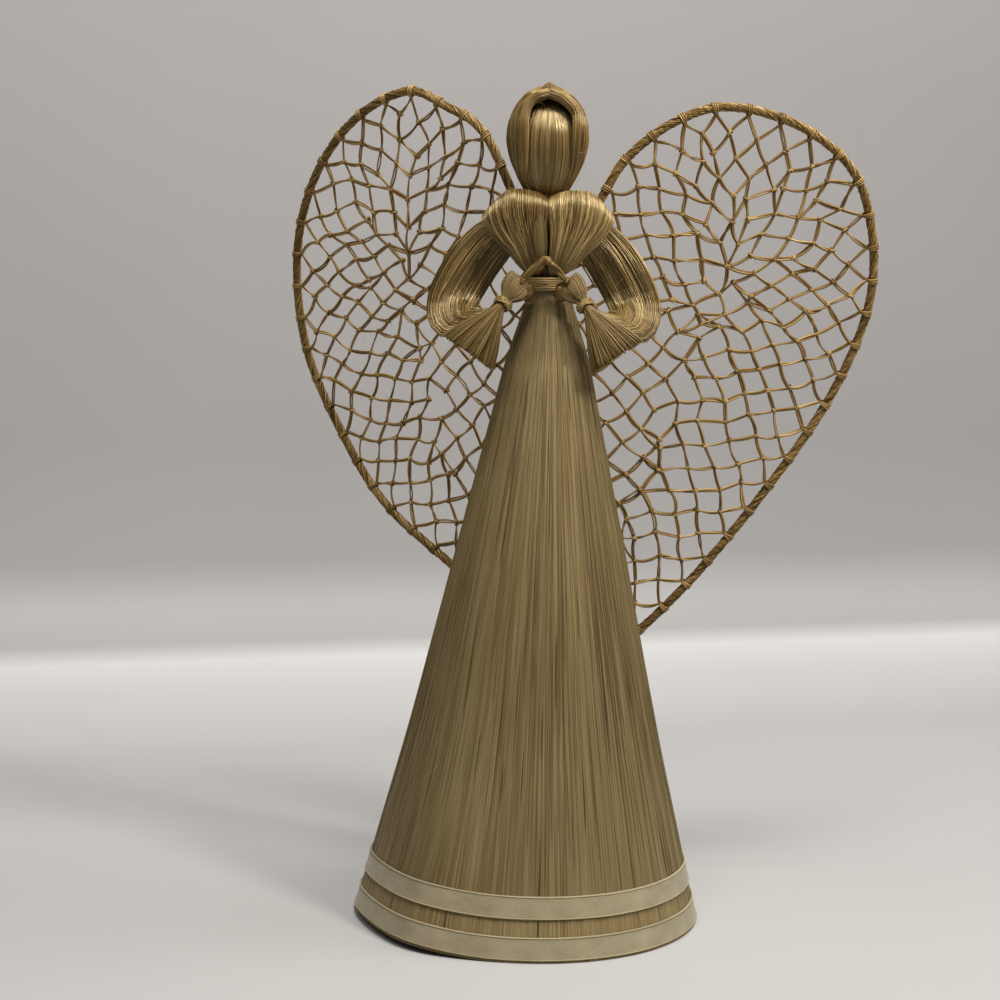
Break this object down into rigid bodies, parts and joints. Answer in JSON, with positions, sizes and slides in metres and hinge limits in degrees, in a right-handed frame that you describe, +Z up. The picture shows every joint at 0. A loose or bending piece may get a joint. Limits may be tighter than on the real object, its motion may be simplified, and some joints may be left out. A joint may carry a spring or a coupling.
{
  "type": "angel figurine",
  "caption": "Free-standing angel of combed plant fibre: hollow cone skirt with ribboned hem, bundled chest and arms, ball head under a hood of hair, and netted loop wings.",
  "frame": {"origin": "middle of the bounding box, at the hem's resting plane", "axes": "+Z up, the figure faces -Y, +X to a viewer's right"},
  "size_m": [0.216, 0.1436, 0.2887],
  "materials": {
    "skirt_fibre": "combed plant fibre, satin",
    "gold_fibre": "combed plant fibre, glossy",
    "hair_fibre": "combed plant fibre, glossy",
    "pale_fibre": "combed plant fibre, matte",
    "ribbon_cloth": "woven ribbon, matte",
    "twine_fibre": "twisted plant fibre, matte",
    "glue": "dried brown glue"
  },
  "bodies": {
    "root": {"arm_left": "gold_fibre", "arm_right": "gold_fibre", "chest_left": "gold_fibre", "chest_right": "gold_fibre", "glue_bead_left": "glue", "glue_bead_right": "glue", "hair_hood": "hair_fibre", "hair_knot": "hair_fibre", "hand_left": "pale_fibre", "hand_right": "pale_fibre", "hand_strap": "pale_fibre", "head_bundle": "gold_fibre", "neck_tie": "pale_fibre", "ribbon_lower": "ribbon_cloth", "ribbon_upper": "ribbon_cloth", "skirt": "skirt_fibre", "sleeve_left": "pale_fibre", "sleeve_right": "pale_fibre", "waist_tie": "pale_fibre", "wing_frame_left": "twine_fibre", "wing_frame_right": "twine_fibre", "wing_net_left": "twine_fibre", "wing_net_right": "twine_fibre", "wing_tie_lower": "twine_fibre", "wrist_tie_left": "pale_fibre", "wrist_tie_right": "pale_fibre"}
  },
  "joints": []
}
